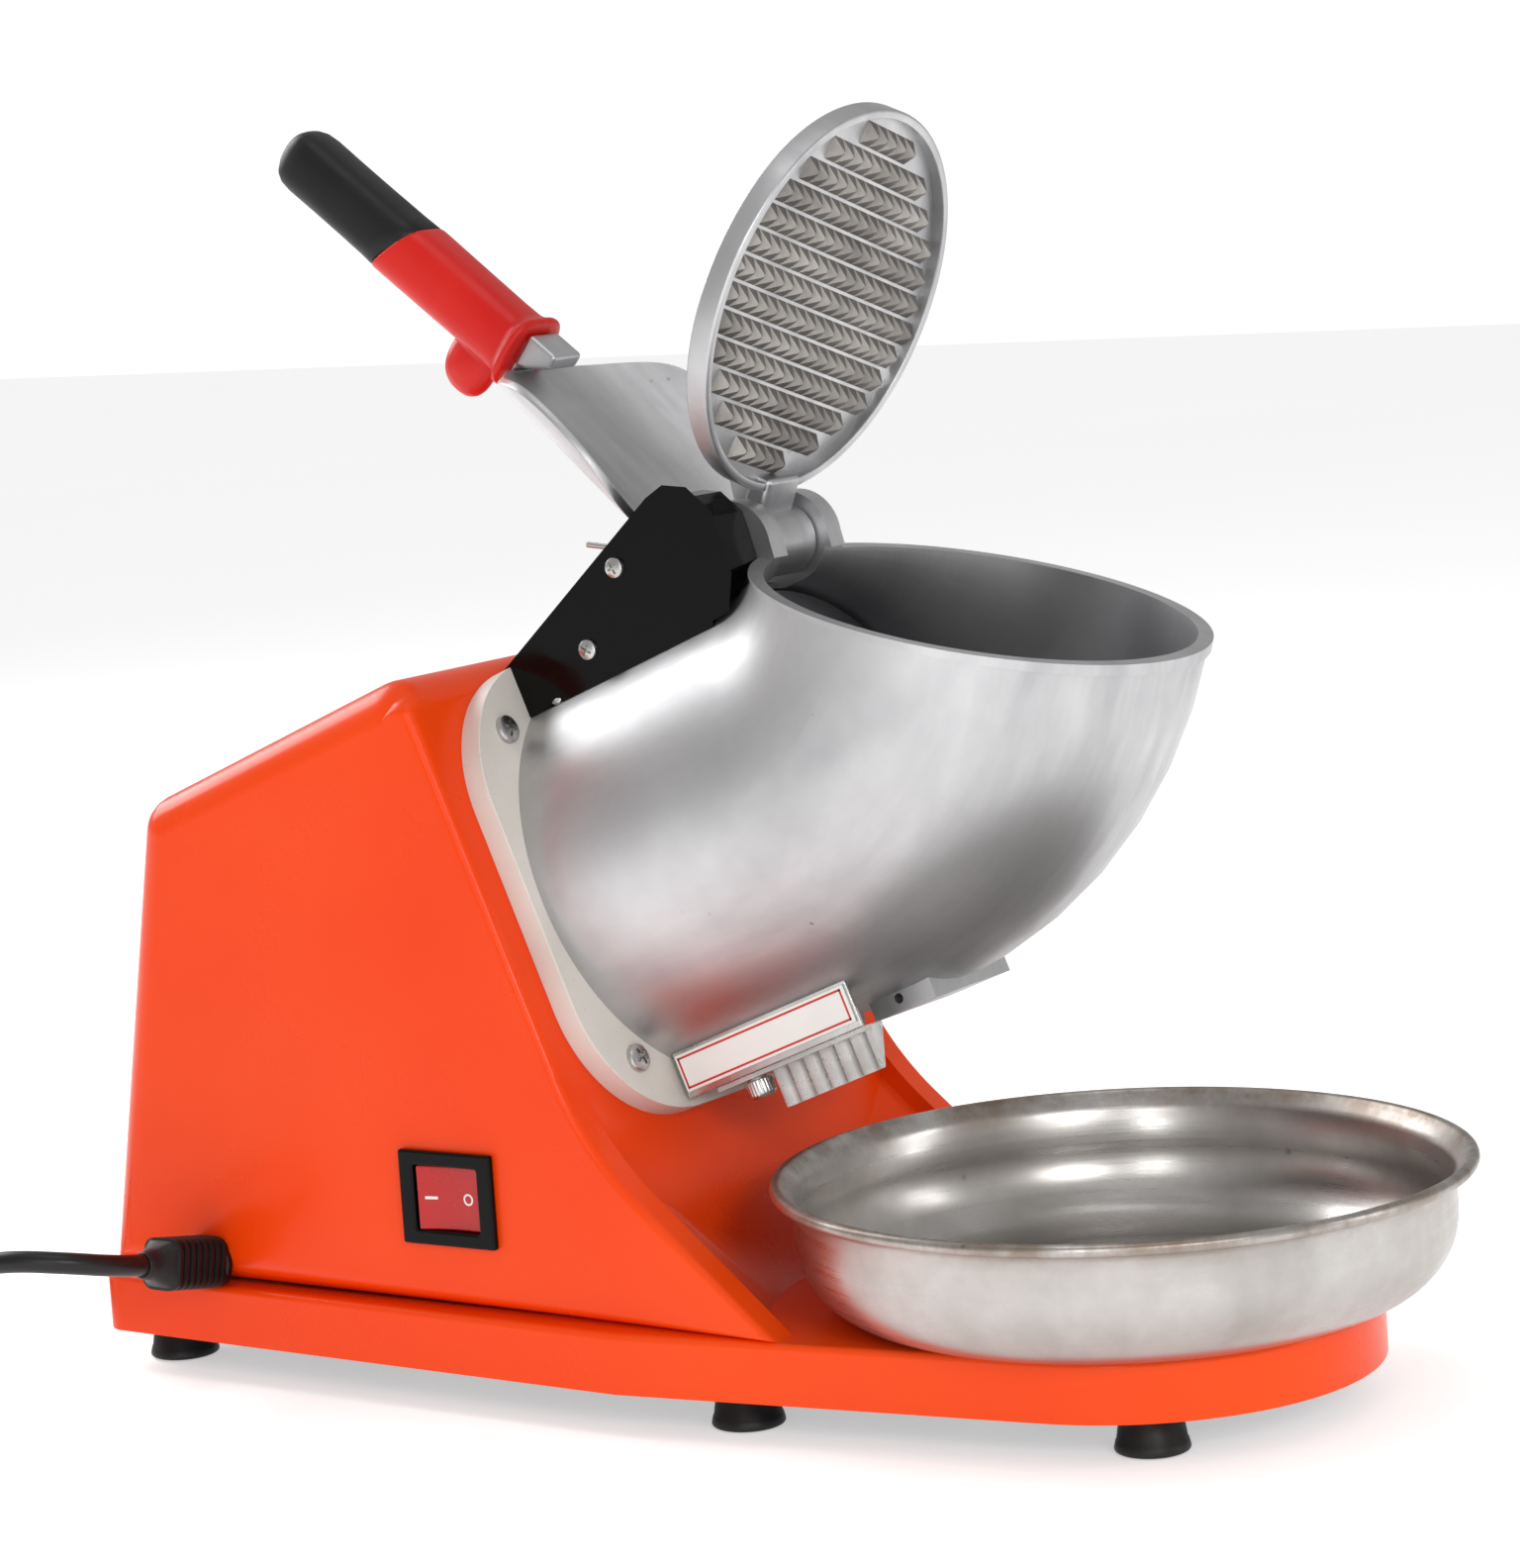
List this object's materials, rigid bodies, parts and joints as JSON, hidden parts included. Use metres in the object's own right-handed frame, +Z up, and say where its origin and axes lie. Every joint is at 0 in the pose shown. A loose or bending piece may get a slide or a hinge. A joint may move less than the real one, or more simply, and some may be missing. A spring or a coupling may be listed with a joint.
{
  "type": "shaved ice machine",
  "caption": "Electric countertop ice shaver with a sloping drum and hopper, a toothed press lever, a steel bowl under the outlet and a mains lead.",
  "frame": {"origin": "on the floor, at the centre of the machine's length and width without its cord", "axes": "+X towards the bowl, +Z up, -Y the side with the rocker switch and the cord"},
  "size_m": [0.636, 0.2688, 0.3999],
  "materials": {
    "orange_shell": "gloss",
    "dark_sheet": "satin",
    "steel": "satin",
    "foot_rubber": "matt",
    "cream_flange": "satin",
    "cast_aluminium": "brushed",
    "dark_steel": "satin",
    "black_gloss": "gloss",
    "label": "satin",
    "clear_plastic": "clear",
    "red_rocker": "gloss",
    "red_sleeve": "satin",
    "black_rubber": "matt",
    "cord_black": "satin",
    "brass": "polished",
    "ivory_plastic": "matt",
    "wire_brown": "matt",
    "bowl_steel": "brushed"
  },
  "bodies": {
    "base": {"base_tray": "orange_shell", "bottom_cover": "dark_sheet", "bottom_screws": "steel", "foot_rear_left": "foot_rubber", "foot_rear_right": "foot_rubber", "foot_mid_left": "foot_rubber", "foot_mid_right": "foot_rubber", "foot_front_left": "foot_rubber", "foot_front_right": "foot_rubber", "foot_screws": "steel", "housing_shell": "orange_shell", "flange_plate": "cream_flange", "flange_screws": "steel", "hopper": "cast_aluminium", "hinge_pin": "steel", "hinge_clip": "steel", "outlet_guard": "steel", "label_plate": "label", "outlet_chute": "clear_plastic", "switch_cover": "black_gloss", "cover_screws": "steel", "safety_switch": "black_gloss", "switch_bezel": "black_gloss", "switch_body": "black_gloss", "strain_relief": "black_rubber", "mains_cord": "cord_black", "cord_coil": "cord_black", "plug_body": "cord_black", "plug_pins": "brass", "terminal_block": "ivory_plastic", "wiring": "wire_brown", "capacitor": "cast_aluminium", "capacitor_clip": "steel", "motor_bracket": "dark_sheet", "motor_front": "cast_aluminium", "motor_rear": "cast_aluminium", "motor_stator": "dark_steel", "motor_bolts": "steel", "front_bearing": "steel", "rear_bearing": "steel", "shaft_seal": "foot_rubber"},
    "rotor": {"motor_shaft": "steel", "motor_core": "dark_steel", "motor_fan": "black_gloss", "ice_paddles": "steel", "blade_disc": "dark_steel", "blades": "steel", "blade_screws": "steel", "shaft_nut": "steel"},
    "lever": {"lever_arm": "cast_aluminium", "press_plate": "cast_aluminium", "plate_bolts": "steel", "lever_tang": "steel", "lever_sleeve": "red_sleeve", "lever_grip": "black_rubber"},
    "rocker": {"rocker": "red_rocker"},
    "safety_wire": {"safety_wire": "steel"},
    "thumb_screw": {"thumb_screw": "steel"},
    "bowl": {"bowl": "bowl_steel"}
  },
  "joints": [
    {"name": "lever_hinge", "type": "hinge", "parent": "base", "child": "lever", "pos_m": [0.0025, 0, 0.263], "axis": [0, 1, 0], "range_deg": [0, 134]},
    {"name": "rotor_spin", "type": "hinge", "parent": "base", "child": "rotor", "pos_m": [-0.04208, 0, 0.15978], "axis": [0.9272, 0, 0.3746], "continuous": true},
    {"name": "rocker_tilt", "type": "hinge", "parent": "base", "child": "rocker", "pos_m": [-0.0735, -0.083, 0.068], "axis": [0, 0, 1], "range_deg": [-10, 0]},
    {"name": "safety_wire_turn", "type": "hinge", "parent": "base", "child": "safety_wire", "pos_m": [-0.02238, -0.0275, 0.26319], "axis": [0, 1, 0], "range_deg": [-6, 6], "stiffness_Nm_per_rad": 0.02},
    {"name": "thumb_screw_turn", "type": "hinge", "parent": "base", "child": "thumb_screw", "pos_m": [0.00639, -0.033, 0.10387], "axis": [-0.3746, 0, 0.9272], "continuous": true},
    {"name": "bowl_lift", "type": "slide", "parent": "base", "child": "bowl", "axis": [0.9659, 0, 0.2588], "range_m": [0, 0.12]}
  ]
}
